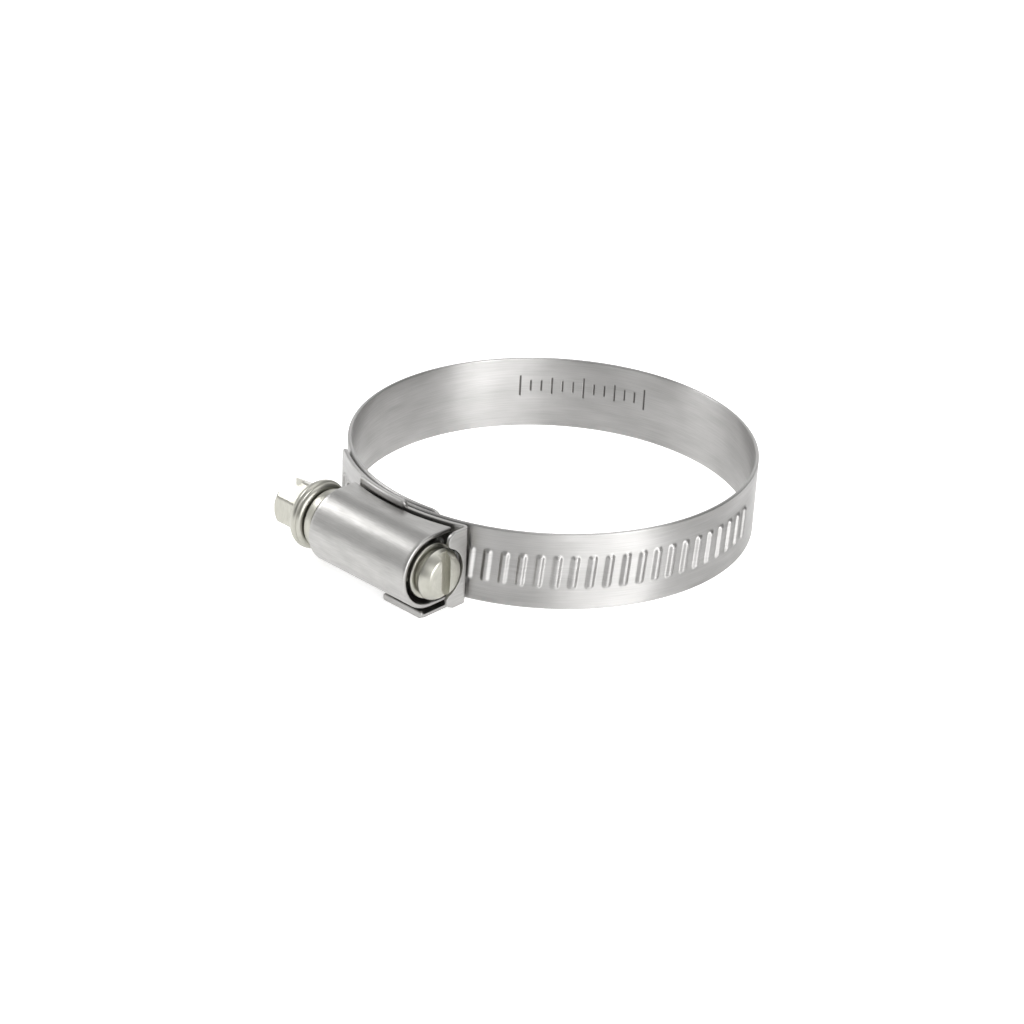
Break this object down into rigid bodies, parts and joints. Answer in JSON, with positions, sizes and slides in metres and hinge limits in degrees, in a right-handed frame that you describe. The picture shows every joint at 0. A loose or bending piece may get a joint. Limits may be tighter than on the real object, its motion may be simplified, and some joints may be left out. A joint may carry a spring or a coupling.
{
  "type": "hose clamp",
  "caption": "Worm-drive hose clamp: steel band ring, barrel housing, lipped saddle and a hexagon-headed screw that draws the threaded band end through.",
  "frame": {"origin": "under the middle of the outline, on the plane that the lower flange stands on", "axes": "+Z along the ring's axis (up, band lying on its edge), +X along the screw from its hexagonal head to its slotted tip, +Y from the housing across the ring"},
  "size_m": [0.0631, 0.0727, 0.0138],
  "materials": {
    "brushed_stainless": "cold-rolled strip, brushed along its length",
    "zinc_plated": "turned steel, zinc plated with a faint yellow cast"
  },
  "bodies": {
    "housing": {"barrel_housing": "brushed_stainless", "saddle_bridge": "brushed_stainless", "band_fixed_end": "brushed_stainless"},
    "screw": {"worm_screw": "zinc_plated"},
    "link_01": {"band_link_01": "brushed_stainless"},
    "link_02": {"band_link_02": "brushed_stainless"},
    "link_03": {"band_link_03": "brushed_stainless"},
    "link_04": {"band_link_04": "brushed_stainless"},
    "link_05": {"band_link_05": "brushed_stainless"},
    "link_06": {"band_link_06": "brushed_stainless"},
    "link_07": {"band_link_07": "brushed_stainless"},
    "link_08": {"band_link_08": "brushed_stainless"},
    "link_09": {"band_link_09": "brushed_stainless"},
    "link_10": {"band_link_10": "brushed_stainless"},
    "link_11": {"band_link_11": "brushed_stainless"},
    "link_12": {"band_link_12": "brushed_stainless"},
    "link_13": {"band_link_13": "brushed_stainless"},
    "link_14": {"band_link_14": "brushed_stainless"},
    "link_15": {"band_link_15": "brushed_stainless"},
    "link_16": {"band_link_16": "brushed_stainless"},
    "link_17": {"band_link_17": "brushed_stainless"},
    "link_18": {"band_link_18": "brushed_stainless"},
    "link_19": {"band_link_19": "brushed_stainless"},
    "link_20": {"band_link_20": "brushed_stainless"},
    "link_21": {"band_link_21": "brushed_stainless"},
    "link_22": {"band_link_22": "brushed_stainless"},
    "link_23": {"band_link_23": "brushed_stainless"},
    "link_24": {"band_link_24": "brushed_stainless"},
    "link_25": {"band_link_25": "brushed_stainless"},
    "link_26": {"band_link_26": "brushed_stainless"}
  },
  "joints": [
    {"name": "screw_turn", "type": "hinge", "parent": "housing", "child": "screw", "pos_m": [0, -0.0306, 0.00695], "axis": [1, 0, 0], "range_deg": [0, 2880]},
    {"name": "band_draw_01", "type": "hinge", "parent": "housing", "child": "link_01", "pos_m": [-0.00396, -0.02516, 0.00095], "axis": [0, 0, -1], "range_deg": [0, 1.77]},
    {"name": "band_draw_02", "type": "hinge", "parent": "housing", "child": "link_02", "pos_m": [-0.00776, -0.0241, 0.00095], "axis": [0, 0, -1], "range_deg": [0, 3.52]},
    {"name": "band_draw_03", "type": "hinge", "parent": "housing", "child": "link_03", "pos_m": [-0.01128, -0.02237, 0.00095], "axis": [0, 0, -1], "range_deg": [0, 5.27]},
    {"name": "band_draw_04", "type": "hinge", "parent": "housing", "child": "link_04", "pos_m": [-0.01438, -0.02005, 0.00095], "axis": [0, 0, -1], "range_deg": [0, 7.02]},
    {"name": "band_draw_05", "type": "hinge", "parent": "housing", "child": "link_05", "pos_m": [-0.01695, -0.01725, 0.00095], "axis": [0, 0, -1], "range_deg": [0, 8.75]},
    {"name": "band_draw_06", "type": "hinge", "parent": "housing", "child": "link_06", "pos_m": [-0.01891, -0.01409, 0.00095], "axis": [0, 0, -1], "range_deg": [0, 10.48]},
    {"name": "band_draw_07", "type": "hinge", "parent": "housing", "child": "link_07", "pos_m": [-0.02022, -0.01071, 0.00095], "axis": [0, 0, -1], "range_deg": [0, 12.2]},
    {"name": "band_draw_08", "type": "hinge", "parent": "housing", "child": "link_08", "pos_m": [-0.02085, -0.00724, 0.00095], "axis": [0, 0, -1], "range_deg": [0, 13.92]},
    {"name": "band_draw_09", "type": "hinge", "parent": "housing", "child": "link_09", "pos_m": [-0.02082, -0.00384, 0.00095], "axis": [0, 0, -1], "range_deg": [0, 15.63]},
    {"name": "band_draw_10", "type": "hinge", "parent": "housing", "child": "link_10", "pos_m": [-0.02017, -0.00064, 0.00095], "axis": [0, 0, -1], "range_deg": [0, 17.33]},
    {"name": "band_draw_11", "type": "hinge", "parent": "housing", "child": "link_11", "pos_m": [-0.01897, 0.00225, 0.00095], "axis": [0, 0, -1], "range_deg": [0, 19.03]},
    {"name": "band_draw_12", "type": "hinge", "parent": "housing", "child": "link_12", "pos_m": [-0.01731, 0.00473, 0.00095], "axis": [0, 0, -1], "range_deg": [0, 20.72]},
    {"name": "band_draw_13", "type": "hinge", "parent": "housing", "child": "link_13", "pos_m": [-0.01531, 0.00672, 0.00095], "axis": [0, 0, -1], "range_deg": [0, 22.4]},
    {"name": "band_draw_14", "type": "hinge", "parent": "housing", "child": "link_14", "pos_m": [-0.01308, 0.00819, 0.00095], "axis": [0, 0, -1], "range_deg": [0, 24.07]},
    {"name": "band_draw_15", "type": "hinge", "parent": "housing", "child": "link_15", "pos_m": [-0.01076, 0.00912, 0.00095], "axis": [0, 0, -1], "range_deg": [0, 25.75]},
    {"name": "band_draw_16", "type": "hinge", "parent": "housing", "child": "link_16", "pos_m": [-0.00845, 0.00951, 0.00095], "axis": [0, 0, -1], "range_deg": [0, 27.41]},
    {"name": "band_draw_17", "type": "hinge", "parent": "housing", "child": "link_17", "pos_m": [-0.00628, 0.00941, 0.00095], "axis": [0, 0, -1], "range_deg": [0, 29.07]},
    {"name": "band_draw_18", "type": "hinge", "parent": "housing", "child": "link_18", "pos_m": [-0.00434, 0.00888, 0.00095], "axis": [0, 0, -1], "range_deg": [0, 30.72]},
    {"name": "band_draw_19", "type": "hinge", "parent": "housing", "child": "link_19", "pos_m": [-0.0027, 0.00801, 0.00095], "axis": [0, 0, -1], "range_deg": [0, 32.36]},
    {"name": "band_draw_20", "type": "hinge", "parent": "housing", "child": "link_20", "pos_m": [-0.00143, 0.00688, 0.00095], "axis": [0, 0, -1], "range_deg": [0, 34]},
    {"name": "band_draw_21", "type": "hinge", "parent": "housing", "child": "link_21", "pos_m": [-0.00055, 0.00559, 0.00095], "axis": [0, 0, -1], "range_deg": [0, 35.63]},
    {"name": "band_draw_22", "type": "hinge", "parent": "housing", "child": "link_22", "pos_m": [-0.00007, 0.00426, 0.00095], "axis": [0, 0, -1], "range_deg": [0, 37.26]},
    {"name": "band_draw_23", "type": "hinge", "parent": "housing", "child": "link_23", "pos_m": [0.00004, 0.00296, 0.00095], "axis": [0, 0, -1], "range_deg": [0, 38.87]},
    {"name": "band_draw_24", "type": "hinge", "parent": "housing", "child": "link_24", "pos_m": [-0.0002, 0.00179, 0.00095], "axis": [0, 0, -1], "range_deg": [0, 40.49]},
    {"name": "band_draw_25", "type": "hinge", "parent": "housing", "child": "link_25", "pos_m": [-0.00072, 0.00082, 0.00095], "axis": [0, 0, -1], "range_deg": [0, 42.09]},
    {"name": "band_draw_26", "type": "hinge", "parent": "housing", "child": "link_26", "pos_m": [-0.00145, 0.0001, 0.00095], "axis": [0, 0, -1], "range_deg": [0, 43.7]}
  ],
  "couplings": [
    {"joint": "band_draw_01", "follows": "screw_turn", "ratio": 0.00060918},
    {"joint": "band_draw_02", "follows": "screw_turn", "ratio": 0.001216},
    {"joint": "band_draw_03", "follows": "screw_turn", "ratio": 0.0018204},
    {"joint": "band_draw_04", "follows": "screw_turn", "ratio": 0.0024225},
    {"joint": "band_draw_05", "follows": "screw_turn", "ratio": 0.0030222},
    {"joint": "band_draw_06", "follows": "screw_turn", "ratio": 0.0036196},
    {"joint": "band_draw_07", "follows": "screw_turn", "ratio": 0.0042146},
    {"joint": "band_draw_08", "follows": "screw_turn", "ratio": 0.0048074},
    {"joint": "band_draw_09", "follows": "screw_turn", "ratio": 0.0053978},
    {"joint": "band_draw_10", "follows": "screw_turn", "ratio": 0.005986},
    {"joint": "band_draw_11", "follows": "screw_turn", "ratio": 0.0065719},
    {"joint": "band_draw_12", "follows": "screw_turn", "ratio": 0.0071555},
    {"joint": "band_draw_13", "follows": "screw_turn", "ratio": 0.0077369},
    {"joint": "band_draw_14", "follows": "screw_turn", "ratio": 0.008316},
    {"joint": "band_draw_15", "follows": "screw_turn", "ratio": 0.0088929},
    {"joint": "band_draw_16", "follows": "screw_turn", "ratio": 0.0094676},
    {"joint": "band_draw_17", "follows": "screw_turn", "ratio": 0.01004},
    {"joint": "band_draw_18", "follows": "screw_turn", "ratio": 0.01061},
    {"joint": "band_draw_19", "follows": "screw_turn", "ratio": 0.011178},
    {"joint": "band_draw_20", "follows": "screw_turn", "ratio": 0.011744},
    {"joint": "band_draw_21", "follows": "screw_turn", "ratio": 0.012308},
    {"joint": "band_draw_22", "follows": "screw_turn", "ratio": 0.01287},
    {"joint": "band_draw_23", "follows": "screw_turn", "ratio": 0.013429},
    {"joint": "band_draw_24", "follows": "screw_turn", "ratio": 0.013986},
    {"joint": "band_draw_25", "follows": "screw_turn", "ratio": 0.014542},
    {"joint": "band_draw_26", "follows": "screw_turn", "ratio": 0.015095}
  ]
}
